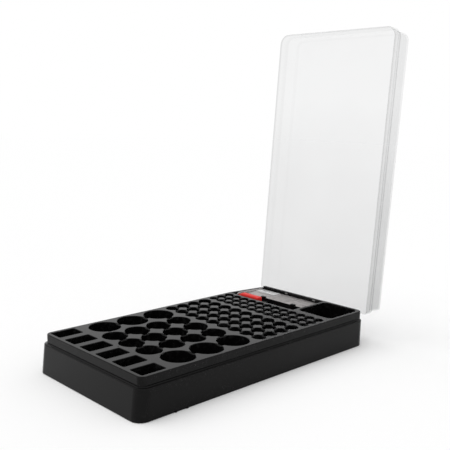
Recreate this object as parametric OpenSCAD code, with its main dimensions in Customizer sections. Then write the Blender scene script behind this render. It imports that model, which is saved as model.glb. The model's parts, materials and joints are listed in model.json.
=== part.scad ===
// Battery organizer case: a black tray with wells for five cell sizes, a parts bin and a
// removable analogue cell tester, under a clear lid on two snap hinges.
// Origin on the ground under the middle of the deck. +Y points to the hinge side, +Z up.
// The lid is drawn standing open, as it stands by itself.

/* [Tray] */
// Width of the deck across the upper rim
deck_w = 166.4; // [148:0.2:176]
// Length of the deck over the upper rim
deck_l = 333.2; // [298:0.2:340]
// Height of the tray from the ground to the deck
tray_h = 41.5; // [40:0.5:48]
// Thickness of the deck plate
deck_t = 2.4; // [1.6:0.1:4]
// Thickness of the upper rim wall
rim_wall = 3.4; // [3:0.1:3.4]
// Corner radius of the upper rim
rim_r = 7; // [5:0.5:8]
// Height of the upper rim above the ledge
rim_h = 10.3; // [8:0.1:12]
// Width of the ledge at the two long sides
ledge_side = 4.2; // [3.4:0.1:6]
// Width of the ledge at the front
ledge_front = 3.4; // [2.6:0.1:6]
// How far the front skirt leans out from the ledge to the ground
front_flare = 3.2; // [0:0.1:5]
// Corner radius of the skirt
skirt_r = 12; // [9:0.5:14]
// Thickness of the skirt and the ledge
skirt_wall = 2.2; // [1.4:0.1:3]
// Depth of the finger dip at the left rear corner, to which the left rim slopes down beside the tester
finger_dip = 2.85; // [1:0.05:5]
// Full rim between the front of the tester bay and the finger dip
finger_dip_lead = 1.5; // [0.5:0.1:30]
// How far the finger dip runs along the rear wall of the tester bay
finger_dip_side = 2; // [0.5:0.1:10]

/* [Wells] */
// Hairline between neighbouring cells of the moulding
seam = 0.05; // [0.02:0.01:0.1]
// Wall of every well tube
tube_wall = 0.8; // [0.5:0.05:0.85]
// Thickness of the floors of wells and pockets
floor_t = 1.2; // [0.8:0.1:2]
// Height of the undersides of the wells above the ground
floor_gap = 0.4; // [0.2:0.1:1]
// Bore of a D well
d_bore = 34.8; // [34.4:0.05:34.8]
// Spacing of the D wells along the tray
d_pitch = 37; // [36.6:0.1:38]
// Bore of a C well
c_bore = 27; // [26.4:0.05:27.1]
// Spacing of the C wells
c_pitch = 28.85; // [28.7:0.05:29.2]
// Bore of an AA well
aa_bore = 15.4; // [14.7:0.05:15.7]
// Spacing of the AA rows along the tray
aa_row = 17.5; // [17.4:0.05:17.7]
// Bore of an AAA well
aaa_bore = 11.4; // [10.7:0.05:11.6]
// Spacing of the AAA rows along the tray
aaa_row = 13.4; // [13.3:0.05:13.6]
// Width of a nine-volt pocket
nv_w = 18.6; // [17.8:0.1:20]
// Length of a nine-volt pocket
nv_l = 28; // [27:0.1:29]
// Spacing of the nine-volt pockets
nv_pitch = 27.7; // [26:0.1:27.8]
// Wall of the nine-volt pockets, the parts bin and the tester bay
pocket_wall = 1; // [0.8:0.1:1.2]
// Width of the deck between the nine-volt pockets and the C wells
nv_margin = 4.1; // [2:0.1:5]
// Deck in front of the first D wells, beyond the front of the C wells
d_lead = 5.5; // [4:0.1:6]
// Deck between the C wells and the AA wells
c_aa_gap = 2.65; // [2.4:0.05:4]
// Deck between the AA wells and the AAA wells
aa_aaa_gap = 2.25; // [1:0.05:3]
// Deck between the AAA wells and the tester bay
aaa_bay_gap = 2.1; // [1:0.05:3]

/* [Bin and bay] */
// Width of the parts bin
bin_w = 49; // [40:0.5:50]
// Deck in front of the parts bin
bin_lead = 5.8; // [2:0.1:10]
// Width of the deck strip between the tester bay and the parts bin
bin_strip = 3; // [2.4:0.1:6]
// Depth of the parts bin below the deck
bin_depth = 30; // [15:0.5:34]
// Width of a retaining rib on the rear wall of the tester bay
rib_w = 3; // [2:0.1:5]
// Distance of the first retaining rib from the left end of the bay
rib_lead = 43.8; // [10:0.1:50]
// Spacing of the two retaining ribs
rib_pitch = 46.4; // [20:0.1:50]

/* [Lid] */
// Overall height of the lid, from its rim to its panel
lid_h = 33.9; // [33.5:0.1:40]
// Room between the deck and the shoulder of the closed lid
lid_lip_gap = 0.3; // [0.2:0.05:1]
// Inward step from the wider rim to the lid wall
lid_step = 2.4; // [1.9:0.1:3]
// Wall of the lid
lid_wall = 1.5; // [1.2:0.1:2.2]
// Thickness of the lid panel
lid_panel = 1.6; // [1.2:0.1:2.4]
// Room between the closed lid's rim and the ledge
lid_rest_gap = 0.3; // [0.2:0.05:0.5]
// Room between the closed lid and the rear of the tray
lid_rear_gap = 0.7; // [0.5:0.05:1]
// Angle at which the lid stands open
lid_open = 94.1; // [85:0.1:110]

/* [Hinge] */
// Distance of each hinge from the middle of the case
hinge_x = 62; // [40:0.5:72]
// Radius of the hinge pins
hinge_pin_r = 2; // [1.5:0.05:2.2]
// Radial play between pin and clip
hinge_play = 0.06; // [0.02:0.01:0.1]
// Outer radius of the hinge ears and clips
hinge_r = 3.3; // [3:0.05:3.4]
// Distance of the hinge axis behind the rear of the tray
hinge_back = 4.1; // [3.8:0.05:5]
// Distance of the hinge axis below the deck
hinge_drop = 7.5; // [6.5:0.1:9]
// Width of a lid clip
clip_w = 12; // [6:0.5:20]
// Width of a hinge ear
ear_w = 3; // [2:0.1:5]
// Side play between ears and clips
ear_gap = 0.3; // [0.2:0.05:0.6]
// Width of the snap opening in a clip
clip_mouth = 3.2; // [2.4:0.1:3.4]
// Height of the lid's rear edge above the rim plane
rear_relief = 1.5; // [1.3:0.1:2]

/* [Tester] */
// Depth of the tester's face below the deck
face_drop = 3.8; // [2:0.1:6]
// Thickness of the tester case
tester_h = 24.8; // [24:0.1:27]
// Height of the bottom shell of the tester
tester_back_h = 10.2; // [9:0.1:10.6]
// Wall of the tester case
tester_wall = 1.6; // [1.2:0.1:1.8]
// Play of the tester in its bay
tester_gap = 0.4; // [0.3:0.05:0.8]
// Width of the cell channel
channel_w = 23.4; // [20:0.1:25]
// Depth of the cell channel below the face
channel_depth = 12; // [10:0.1:12.4]
// Thickness of the walls and floor of the channel
channel_wall = 1.4; // [1:0.1:1.6]
// Thickness of the silver face plate
plate_t = 0.8; // [0.5:0.1:1]
// Margin of the face plate inside the case edge
plate_margin = 0.8; // [0.4:0.1:1.5]
// Solid end of the channel behind the fixed contact
channel_stop = 2; // [1:0.1:4]
// Wall of the screw bosses
boss_wall = 1.4; // [1:0.1:1.5]
// Room between the screw bosses and the walls beside them
boss_gap = 0.3; // [0.2:0.05:0.5]
// Radius of a case screw's shank
screw_r = 1.1; // [0.8:0.05:1.2]
// Radius of a case screw's head
screw_head_r = 2; // [1.6:0.05:2.2]
// Height of a case screw's head
screw_head_h = 1; // [0.6:0.1:1.2]

/* [Jaw] */
// Length of the red jaw
jaw_l = 38; // [30:0.5:38.5]
// Width of the thumb bar along the front of the jaw
thumb_w = 8.5; // [6:0.1:12]
// Height of the thumb bar above the face
thumb_h = 5.8; // [2:0.1:5.9]
// Height of the jaw's carriage in the channel
carriage_h = 5; // [3:0.1:6]
// Length of the black contact block on the carriage
block_l = 10.7; // [6:0.1:12]
// Height of the black contact block
block_h = 4; // [2:0.1:5]
// Length of a guide lip over the channel's rear edge
lip_l = 6; // [4:0.1:10]
// Reach of the guide lips over the channel
lip_w = 3.4; // [2:0.1:4]
// Thickness of the guide lips
lip_t = 1.8; // [1:0.1:2.4]
// Distance of the first guide lip from the fixed end of the channel
lip_lead = 12.8; // [8:0.1:16]
// Spacing of the two guide lips
lip_pitch = 50; // [30:0.5:52]
// Place of the jaw's working end from the fixed contact end of the channel
jaw_opening = 55; // [54.5:0.5:55.5]
// Play of the jaw in the channel
jaw_gap = 0.3; // [0.2:0.05:0.5]
// Thickness of the contact plates
contact_t = 0.6; // [0.4:0.05:0.8]
// Width of the contact plates
contact_w = 9; // [6:0.5:12]
// Distance of the contact plates' top edge below the face
contact_drop = 3; // [1:0.1:4]
// Radius of the fixed contact's button
button_r = 2.5; // [1.5:0.1:3.5]
// Width of the contact rail
rail_w = 3; // [2:0.1:6]
// Radius of a nine-volt stud
stud_r = 2.4; // [2:0.1:2.8]
// Spacing of the nine-volt studs
stud_pitch = 12.7; // [12.5:0.1:13]
// Radius of a load resistor
resistor_r = 1.6; // [1:0.1:2]
// Length of a load resistor
resistor_l = 9; // [6:0.5:12]

/* [Meter] */
// Width of the meter window
window_w = 32; // [28:0.5:34]
// Length of the meter window
window_l = 13.5; // [11:0.5:14]
// Thickness of the meter window
window_t = 1.6; // [1.2:0.1:2]
// Distance of the window from the left end of the tester
window_inset = 4; // [3:0.1:8]
// Distance of the window from the rear edge of the tester
window_rear = 3; // [2.4:0.1:4]
// Least room between the meter's yoke and the cell channel
meter_room = 5.2; // [2:0.1:5.2]
// Distance of the needle's pivot in front of the window
pivot_lead = 1.5; // [0.5:0.1:3]
// Length of the needle from its pivot
needle_l = 13; // [9:0.1:13.4]
// Width of the needle
needle_w = 0.8; // [0.5:0.05:1.2]
// Angle of the needle at zero, left of the middle of the dial
needle_zero = 40; // [20:1:45]
// Radius of the pivot staff
staff_r = 0.6; // [0.4:0.05:0.8]
// Play of the staff in its bearing
staff_play = 0.05; // [0.02:0.01:0.1]
// Radius of the magnet core
core_r = 3.6; // [2.5:0.05:4]
// Air gap on each side of the moving coil
coil_gap = 0.7; // [0.4:0.05:1]
// Thickness of the moving coil
coil_t = 1.2; // [0.8:0.05:1.5]
// Wall of the yoke
yoke_wall = 2; // [1.5:0.1:2.5]
// Height of the magnet core
core_h = 8; // [6:0.1:8.4]
// Thickness of the bridge
bridge_t = 1.4; // [1:0.1:1.8]
// Width of the bridge
bridge_w = 5; // [4:0.1:7]
// Radius of the bridge's posts
post_r = 1.4; // [1:0.1:1.6]
// Thickness of the dial plate
dial_t = 0.6; // [0.4:0.1:1]
// Thickness of the needle, the hairspring and the room around them
leaf_t = 0.4; // [0.3:0.05:0.5]
// Width of the seat that carries the window
window_seat = 1; // [0.6:0.1:1.6]
// Turns of the hairspring
hairspring_turns = 3; // [2:1:4]
// Spacing of the hairspring's turns
hairspring_pitch = 0.65; // [0.62:0.01:0.7]
// Width of the hairspring's band
hairspring_band = 0.2; // [0.15:0.01:0.22]

/* [Hidden] */
$fn = 48;

black = "#2b2b2d";
clear = "#dfe3e6";
silver = "#b9bbbd";
copper = "#b87a45";
steel = "#9aa0a6";

// Counts and margins that belong to the design
corner_steps = 10;
spiral_steps = 24;
nv_count = 6;
d_rows = 3;
c_cols = 3;
c_rows = 4;
aa_cols = 9;
aa_rows = 4;
aaa_cols = 12;
aaa_rows = 3;
over = 1;

// Outline of the tray
in_x = deck_w / 2 - rim_wall;
in_y = deck_l / 2 - rim_wall;
ledge_z = tray_h - rim_h;
skirt_x = deck_w / 2 + ledge_side;
ledge_y = deck_l / 2 + ledge_front;
foot_y = ledge_y + front_flare;
rear_y = deck_l / 2;
deck_z = tray_h - deck_t;
well_z = floor_gap + floor_t;

// Radii of the meter's movement
coil_in = core_r + coil_gap;
coil_out = coil_in + coil_t;
yoke_in = coil_out + coil_gap;
yoke_out = yoke_in + yoke_wall;

// Room the wells need across and along the tray. On a deck too small for them the wells, the bin, the
// hinges and the tester's parts are all drawn smaller by the same factor.
d_need = d_bore + 2 * tube_wall + seam;
cd_need = c_cols * c_pitch + 2 * d_need;
aa_need = aa_cols * (aa_bore + 2 * tube_wall + seam);
aaa_need = aaa_cols * (aaa_bore + 2 * tube_wall + seam);
nv_need = (nv_count - 1) * nv_pitch + nv_w + 2 * pocket_wall + 4 * seam;
cols_need = max(cd_need, aa_need, aaa_need, nv_need);
wells_need = c_rows * c_pitch + aa_rows * aa_row + aaa_rows * aaa_row;
strips_need = nv_margin + c_aa_gap + aa_aaa_gap + aaa_bay_gap;
meter_need = yoke_out + pivot_lead + window_l + window_rear;
channel_need = tester_wall + channel_w + channel_wall + meter_room;
bay_need = 2 * pocket_wall + 2 * tester_gap + channel_need + meter_need;
rows_need = pocket_wall + nv_l + wells_need + strips_need + bay_need;
fit = min(1, 2 * in_x / cols_need, 2 * in_y / rows_need);
d_hole = fit * d_bore;
d_step = fit * d_pitch;
c_hole = fit * c_bore;
c_step = fit * c_pitch;
aa_hole = fit * aa_bore;
aa_step = fit * aa_row;
aaa_hole = fit * aaa_bore;
aaa_step = fit * aaa_row;
tube_t = fit * tube_wall;
nv_x = fit * nv_w;
nv_y = fit * nv_l;
nv_step = fit * nv_pitch;
pocket_t = fit * pocket_wall;
nv_strip = fit * nv_margin;
d_strip = fit * d_lead;
aa_strip = fit * c_aa_gap;
aaa_strip = fit * aa_aaa_gap;
bay_strip = fit * aaa_bay_gap;
bin_x = fit * bin_w;
bin_y = fit * bin_lead;
hinge_at = fit * hinge_x;
channel_y = fit * channel_w;
jaw_x = fit * jaw_l;
jaw_room = fit * jaw_opening;
window_x = fit * window_w;
window_y = fit * window_l;
needle_r = fit * needle_l;

// Rows of wells, from the front of the deck to the rear
nv_front = -in_y + pocket_t;
nv_rear = nv_front + nv_y;
c_front = nv_rear + nv_strip;
c_rear = c_front + c_rows * c_step;
c_half = c_cols * c_step / 2;
d_front = c_front + d_strip;
d_rear = d_front + d_rows * d_step;
aa_front = c_rear + aa_strip;
aa_rear = aa_front + aa_rows * aa_step;
aaa_front = aa_rear + aaa_strip;
aaa_rear = aaa_front + aaa_rows * aaa_step;
aa_col = 2 * in_x / aa_cols;
aaa_col = 2 * in_x / aaa_cols;
d_w = in_x - c_half;
bay_front = aaa_rear + bay_strip;

// Parts bin and tester bay
bin_right = in_x - pocket_t;
bin_left = bin_right - bin_x;
bin_front = bay_front + bin_y;
bin_rear = in_y - pocket_t;
bin_z = tray_h - bin_depth;
bay_right = bin_left - bin_strip;
bay_in_left = -in_x + pocket_t;
bay_in_right = bay_right - pocket_t;
bay_in_front = bay_front + pocket_t;
bay_in_rear = in_y - pocket_t;
bay_z = tray_h - face_drop - tester_h;
bay_mid_x = (bay_in_left + bay_in_right) / 2;
rib_depth = tester_gap / 2;

// Lid, in its closed place
lid_x = skirt_x;
lid_front = ledge_y;
lid_rear = rear_y + lid_rear_gap + lid_wall;
lid_z = ledge_z + lid_rest_gap;
lid_top = lid_z + lid_h;
lid_shoulder = tray_h + lid_lip_gap + lid_wall;

// Hinge axis
hinge_y = rear_y + hinge_back;
hinge_z = tray_h - hinge_drop;
clip_half = clip_w / 2;
ear_in = clip_half + ear_gap;
ear_out = ear_in + ear_w;
notch_half = ear_out + ear_gap;
notch_top = hinge_z + hinge_r + ear_gap;
web_rear = lid_rear;
web_front = lid_rear - lid_wall;

// Tester case
t_left = bay_in_left + tester_gap;
t_right = bay_in_right - tester_gap;
t_front = bay_in_front + tester_gap;
t_rear = bay_in_rear - tester_gap;
t_z = bay_z;
t_split = t_z + tester_back_h;
t_face = t_z + tester_h;
plate_z = t_face - plate_t;
body_top = plate_z - tester_wall;
channel_left = t_left + tester_wall;
channel_right = t_right - tester_wall - channel_stop;
channel_front = t_front + tester_wall;
channel_rear = channel_front + channel_y;
channel_z = t_face - channel_depth;
boss_r = screw_r + boss_wall;
screw_x0 = t_left + tester_wall + boss_gap + boss_r;
screw_x1 = t_right - tester_wall - boss_gap - boss_r;
screw_y0 = channel_rear + channel_wall + boss_gap + boss_r;
screw_y1 = t_rear - tester_wall - boss_gap - boss_r;
screw_mid = t_left + window_inset + window_x + boss_r + tester_wall;
screw_places = [[screw_x0, screw_y0], [screw_x1, screw_y0], [screw_mid, screw_y1], [screw_x1, screw_y1]];
screw_l = tester_back_h - tester_wall;

// Jaw and contacts
jaw_right = channel_right - contact_t - jaw_room;
jaw_left = jaw_right - jaw_x;
jaw_front = channel_front + jaw_gap;
jaw_rear = channel_rear - jaw_gap;
jaw_z = channel_z + jaw_gap;
carriage_z = jaw_z + carriage_h;
thumb_rear = jaw_front + thumb_w;
contact_y = (channel_front + channel_rear) / 2;
contact_h = channel_depth - jaw_gap - contact_drop;
rail_t = jaw_gap / 2;
stud_z = t_split + stud_r + contact_t;
stud_places = [screw_y1 - stud_pitch, screw_y1];

// Meter
window_left = t_left + window_inset;
window_back = t_rear - window_rear;
window_front = window_back - window_y;
pivot_x = window_left + window_x / 2;
pivot_y = window_front - pivot_lead;
dial_z = body_top - dial_t - 3 * leaf_t;
yoke_z = t_z + tester_wall;
core_z = yoke_z + yoke_wall;
coil_z = core_z + coil_gap;
coil_top = core_z + core_h + coil_gap + coil_t;
bridge_z = coil_top + coil_gap;
post_x = yoke_out - yoke_wall / 2;
spring_z = bridge_z + bridge_t + leaf_t;
needle_z = dial_z + dial_t + leaf_t;

// Points of a rounded rectangle between two corners
function corner_arc(x, y, r, start) =
    [for (i = [0 : corner_steps]) let (a = start + 90 * i / corner_steps) [x + r * cos(a), y + r * sin(a)]];
function round_rect(x0, x1, y0, y1, r) = concat(
    corner_arc(x1 - r, y1 - r, r, 0),
    corner_arc(x0 + r, y1 - r, r, 90),
    corner_arc(x0 + r, y0 + r, r, 180),
    corner_arc(x1 - r, y0 + r, r, 270));

// A box between two corners
module box(low, high) {
    translate(low) cube(high - low);
}

// A plate of the moulding, a hairline short of its neighbours all round
module plate(low, high) {
    half = [seam, seam, seam] / 2;
    box(low + half, high - half);
}

// A rounded slab between two heights
module slab(x0, x1, y0, y1, r, z0, z1) {
    translate([0, 0, z0]) linear_extrude(z1 - z0) polygon(round_rect(x0, x1, y0, y1, r));
}

// A cylinder along X between two places
module bar_x(x0, x1, y, z, r) {
    translate([x0, y, z]) rotate([0, 90, 0]) cylinder(h = x1 - x0, r = r);
}

// The skirt's block, leaning in at the front, taken in by a wall
module skirt_block(inset, top) {
    lean = atan(front_flare / ledge_z);
    intersection() {
        slab(-skirt_x + inset, skirt_x - inset, -foot_y + inset, rear_y - inset,
            skirt_r - inset, -inset, top);
        translate([0, -foot_y + inset, 0]) rotate([-lean, 0, 0])
            box([-deck_w, 0, -tray_h], [deck_w, 2 * deck_l, 2 * tray_h]);
    }
}

// Cut that lets the left rim down beside the tester, sloping to the rear corner
module finger_cut() {
    start = bay_in_front + finger_dip_lead;
    low = tray_h - finger_dip;
    depth = over + rim_wall + pocket_t + finger_dip_side;
    rear_end = rear_y + over;
    high = tray_h + over;
    translate([-deck_w / 2 - over, 0, 0]) rotate([90, 0, 90]) linear_extrude(depth)
        polygon([[start, tray_h], [rear_y, low], [rear_end, low], [rear_end, high], [start, high]]);
}

// Skirt, ledge and upper rim of the tray, open over the deck
module tray_shell() {
    color(black) difference() {
        union() {
            skirt_block(0, ledge_z);
            slab(-deck_w / 2, deck_w / 2, -deck_l / 2, rear_y, rim_r, ledge_z - skirt_wall, tray_h);
        }
        skirt_block(skirt_wall, ledge_z - skirt_wall);
        box([-in_x, -in_y, ledge_z - 2 * skirt_wall], [in_x, in_y, tray_h + over]);
        finger_cut();
    }
}

// Deck strips between the blocks of wells
module deck_bars() {
    bars = [
        [-in_x, -c_half, c_front, d_front],
        [c_half, in_x, c_front, d_front],
        [-c_half, c_half, c_rear, aa_front],
        [-in_x, -c_half, d_rear, aa_front],
        [c_half, in_x, d_rear, aa_front],
        [-in_x, in_x, aa_rear, aaa_front],
        [-in_x, in_x, aaa_rear, bay_front],
    ];
    color(black) for (b = bars) plate([b[0], b[2], deck_z], [b[1], b[3], tray_h]);
}

// Row of nine-volt pockets: long walls, cross walls, webs of deck and one floor
module nine_volt_bank() {
    edges = [for (i = [0 : nv_count - 1]) (i - (nv_count - 1) / 2) * nv_step];
    color(black) {
        plate([-in_x, -in_y, floor_gap], [in_x, nv_front, tray_h]);
        plate([-in_x, nv_rear, floor_gap], [in_x, nv_rear + pocket_t, deck_z]);
        plate([-in_x, nv_rear, deck_z], [in_x, c_front, tray_h]);
        plate([-in_x, nv_front, floor_gap], [in_x, nv_rear, well_z]);
        for (i = [0 : nv_count]) {
            left = i == 0 ? -in_x : edges[i - 1] + nv_x / 2;
            right = i == nv_count ? in_x : edges[i] - nv_x / 2;
            plate([left, nv_front, deck_z], [right, nv_rear, tray_h]);
        }
        for (x = edges, side = [-1, 1]) {
            wall_x = x + side * (nv_x + pocket_t) / 2;
            plate([wall_x - pocket_t / 2, nv_front, well_z], [wall_x + pocket_t / 2, nv_rear, deck_z]);
        }
    }
}

// One well: a tile of deck with a tube and a floor below it
module well(x, y, tile_x, tile_y, bore) {
    difference() {
        union() {
            plate([x - tile_x / 2, y - tile_y / 2, deck_z],
                [x + tile_x / 2, y + tile_y / 2, tray_h + seam / 2]);
            translate([x, y, floor_gap])
                cylinder(h = deck_z - floor_gap + deck_t / 2, d = bore + 2 * tube_t);
        }
        translate([x, y, well_z]) cylinder(h = tray_h, d = bore);
    }
}

// Three D wells on each side
module d_bank() {
    color(black) for (side = [-1, 1], i = [0 : d_rows - 1])
        well(side * (c_half + d_w / 2), d_front + (i + 0.5) * d_step, d_w, d_step, d_hole);
}

// Block of C wells in the middle
module c_bank() {
    color(black) for (i = [0 : c_cols - 1], j = [0 : c_rows - 1])
        well((i + 0.5) * c_step - c_half, c_front + (j + 0.5) * c_step, c_step, c_step, c_hole);
}

// Block of AA wells
module aa_bank() {
    color(black) for (i = [0 : aa_cols - 1], j = [0 : aa_rows - 1])
        well((i + 0.5) * aa_col - in_x, aa_front + (j + 0.5) * aa_step, aa_col, aa_step, aa_hole);
}

// Block of AAA wells
module aaa_bank() {
    color(black) for (i = [0 : aaa_cols - 1], j = [0 : aaa_rows - 1])
        well((i + 0.5) * aaa_col - in_x, aaa_front + (j + 0.5) * aaa_step, aaa_col, aaa_step, aaa_hole);
}

// Parts bin beside the tester
module parts_bin() {
    low = bin_z - floor_t;
    color(black) {
        plate([bay_right, bay_front, deck_z], [in_x, bin_front, tray_h]);
        plate([bay_right, bin_front, deck_z], [bin_left, in_y, tray_h]);
        plate([bin_left - pocket_t, bin_front - pocket_t, low], [in_x, in_y, bin_z]);
        plate([bin_left - pocket_t, bin_front - pocket_t, bin_z], [in_x, bin_front, deck_z]);
        plate([bin_left - pocket_t, bin_front, bin_z], [bin_left, in_y, deck_z]);
        plate([bin_right, bin_front, bin_z], [in_x, in_y, tray_h]);
        plate([bin_left, bin_rear, bin_z], [bin_right, in_y, tray_h]);
    }
}

// Bay for the tester, with two retaining ribs on its rear wall
module tester_bay() {
    low = bay_z - floor_t;
    color(black) {
        plate([-in_x, bay_front, low], [bay_right, in_y, bay_z]);
        plate([-in_x, bay_front, bay_z], [bay_right, bay_in_front, tray_h]);
        plate([bay_in_right, bay_in_front, bay_z], [bay_right, bay_in_rear, tray_h]);
        difference() {
            plate([-in_x, bay_in_rear, bay_z], [bay_right, in_y, tray_h]);
            finger_cut();
        }
        difference() {
            plate([-in_x, bay_in_front, bay_z], [bay_in_left, bay_in_rear, tray_h]);
            finger_cut();
        }
        for (i = [0, 1]) {
            rib_x = bay_in_left + rib_lead + i * rib_pitch;
            plate([rib_x - rib_w / 2, bay_in_rear - rib_depth, bay_z],
                [rib_x + rib_w / 2, bay_in_rear, tray_h]);
        }
    }
}

// Ears on the rear of the tray, two for each hinge
module hinge_ears() {
    color(black) for (x = [-hinge_at, hinge_at], side = [-1, 1]) {
        x0 = x + (side > 0 ? ear_in : -ear_out);
        bar_x(x0, x0 + ear_w, hinge_y, hinge_z, hinge_r);
        box([x0, rear_y, hinge_z - hinge_r], [x0 + ear_w, hinge_y, hinge_z + hinge_r]);
    }
}

// Hinge pins between the ears
module hinge_pins() {
    color(black) for (x = [-hinge_at, hinge_at])
        bar_x(x - ear_in, x + ear_in, hinge_y, hinge_z, hinge_pin_r);
}

// Turns a piece of the lid from its closed place to where it stands open
module open_lid() {
    translate([0, hinge_y, hinge_z]) rotate([-lid_open, 0, 0]) translate([0, -hinge_y, -hinge_z]) children();
}

// Outer or inner block of the lid, closed, taken in by a wall
module lid_block(inset, low, shoulder, top) {
    upper = lid_step + inset;
    slab(-lid_x + inset, lid_x - inset, -lid_front + inset, lid_rear - inset,
        skirt_r - inset, low, shoulder);
    slab(-lid_x + upper, lid_x - upper, -lid_front + upper, lid_rear - upper,
        skirt_r - upper, low, top);
}

// Clear lid with its wider rim, notched at the hinges
module lid() {
    color(clear, 0.4) open_lid() difference() {
        lid_block(0, lid_z, lid_shoulder, lid_top);
        lid_block(lid_wall, lid_z - over, lid_shoulder - lid_wall, lid_top - lid_panel);
        box([-lid_x + lid_wall, rear_y - skirt_r, lid_z - over],
            [lid_x - lid_wall, lid_rear + over, lid_z + rear_relief]);
        for (x = [-hinge_at, hinge_at])
            box([x - notch_half, rear_y - over, lid_z - over], [x + notch_half, lid_rear + over, notch_top]);
    }
}

// Snap clips of the lid round the hinge pins, each with the web that carries it
module lid_clips() {
    bore_r = hinge_pin_r + hinge_play;
    color(clear, 0.4) open_lid() for (x = [-hinge_at, hinge_at]) difference() {
        union() {
            bar_x(x - clip_half, x + clip_half, hinge_y, hinge_z, hinge_r);
            box([x - clip_half, web_front, hinge_z], [x + clip_half, web_rear, notch_top]);
        }
        bar_x(x - clip_half - over, x + clip_half + over, hinge_y, hinge_z, bore_r);
        box([x - clip_half - over, hinge_y - clip_mouth / 2, hinge_z - 2 * hinge_r],
            [x + clip_half + over, hinge_y + clip_mouth / 2, hinge_z]);
    }
}

// Bottom shell of the tester with its screw holes
module tester_back() {
    color(black) difference() {
        box([t_left, t_front, t_z], [t_right, t_rear, t_split]);
        box([t_left + tester_wall, t_front + tester_wall, t_z + tester_wall],
            [t_right - tester_wall, t_rear - tester_wall, t_split + over]);
        for (p = screw_places) {
            translate([p[0], p[1], t_z - over]) {
                cylinder(h = tester_h, r = screw_r + staff_play);
                cylinder(h = over + screw_head_h, r = screw_head_r + staff_play);
            }
        }
    }
}

// Top body of the tester: walls, cell channel, window opening, screw bosses and the lips that guide the jaw
module tester_body() {
    boss_low = t_z + tester_wall;
    lip_z = t_face + jaw_gap;
    color(black) for (i = [0, 1]) {
        lip_right = channel_right - lip_lead - i * lip_pitch;
        box([lip_right - lip_l, channel_rear, t_face - over],
            [lip_right, channel_rear + plate_margin, lip_z + lip_t]);
        box([lip_right - lip_l, channel_rear - lip_w, lip_z],
            [lip_right, channel_rear + plate_margin, lip_z + lip_t]);
    }
    color(black) difference() {
        union() {
            difference() {
                box([t_left, t_front, t_split], [t_right, t_rear, t_face]);
                box([t_left + tester_wall, t_front + tester_wall, t_split - over],
                    [t_right - tester_wall, t_rear - tester_wall, body_top]);
            }
            box([channel_left, channel_front, channel_z - channel_wall],
                [t_right - tester_wall, channel_rear + channel_wall, t_face - over]);
            for (p = screw_places) translate([p[0], p[1], boss_low])
                cylinder(h = body_top - boss_low + tester_wall / 2, r = boss_r);
        }
        box([channel_left, channel_front, channel_z], [channel_right, channel_rear, t_face + over]);
        box([t_left + plate_margin, channel_rear + plate_margin, plate_z],
            [t_right - plate_margin, t_rear - plate_margin, t_face + over]);
        box([window_left + window_seat, window_front + window_seat, t_split],
            [window_left + window_x - window_seat, window_back - window_seat, t_face + over]);
        for (p = screw_places) translate([p[0], p[1], boss_low - over])
            cylinder(h = screw_l + over, r = screw_r + staff_play);
        for (y = stud_places) bar_x(t_left - over, channel_left + over, y, stud_z, stud_r + staff_play);
    }
}

// Silver face plate let into the top body
module face_plate() {
    color(silver) difference() {
        box([t_left + plate_margin, channel_rear + plate_margin, plate_z],
            [t_right - plate_margin, t_rear - plate_margin, t_face]);
        box([window_left, window_front, plate_z - over],
            [window_left + window_x, window_back, t_face + over]);
    }
}

// Clear meter window on its seat, standing a little proud of the face
module meter_window() {
    color(clear, 0.5) box([window_left, window_front, plate_z],
        [window_left + window_x, window_back, plate_z + window_t]);
}

// Dial plate under the window, on the posts of the bridge
module dial_plate() {
    color("white") difference() {
        box([window_left, pivot_y - post_r, dial_z], [window_left + window_x, window_back, dial_z + dial_t]);
        translate([pivot_x, pivot_y, dial_z - over]) cylinder(h = dial_t + 2 * over, r = 2 * staff_r);
    }
}

// Iron yoke of the movement, a cup on the bottom shell
module meter_yoke() {
    color(steel) difference() {
        translate([pivot_x, pivot_y, yoke_z]) cylinder(h = yoke_wall + core_h, r = yoke_out);
        translate([pivot_x, pivot_y, core_z]) cylinder(h = core_h + over, r = yoke_in);
    }
}

// Magnet core standing in the yoke
module meter_magnet() {
    color("#55585c") translate([pivot_x, pivot_y, core_z]) cylinder(h = core_h, r = core_r);
}

// Bridge across the yoke, with the upper bearing and two posts that carry the dial
module meter_bridge() {
    color("#c8a24a") difference() {
        union() {
            box([pivot_x - post_x, pivot_y - bridge_w / 2, bridge_z],
                [pivot_x + post_x, pivot_y + bridge_w / 2, bridge_z + bridge_t]);
            for (side = [-1, 1]) translate([pivot_x + side * post_x, pivot_y, core_z + core_h])
                cylinder(h = dial_z - core_z - core_h, r = post_r);
        }
        translate([pivot_x, pivot_y, bridge_z - over])
            cylinder(h = bridge_t + 2 * over, r = staff_r + staff_play);
    }
}

// Pivot staff from the coil up to the needle
module pivot_staff() {
    color(steel) translate([pivot_x, pivot_y, coil_top]) cylinder(h = needle_z - coil_top, r = staff_r);
}

// Moving coil: a bell that turns in the gap between core and yoke
module moving_coil() {
    color(copper) difference() {
        translate([pivot_x, pivot_y, coil_z]) cylinder(h = coil_top - coil_z, r = coil_out);
        translate([pivot_x, pivot_y, coil_z - over])
            cylinder(h = coil_top - coil_z - coil_t + over, r = coil_in);
    }
}

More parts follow.
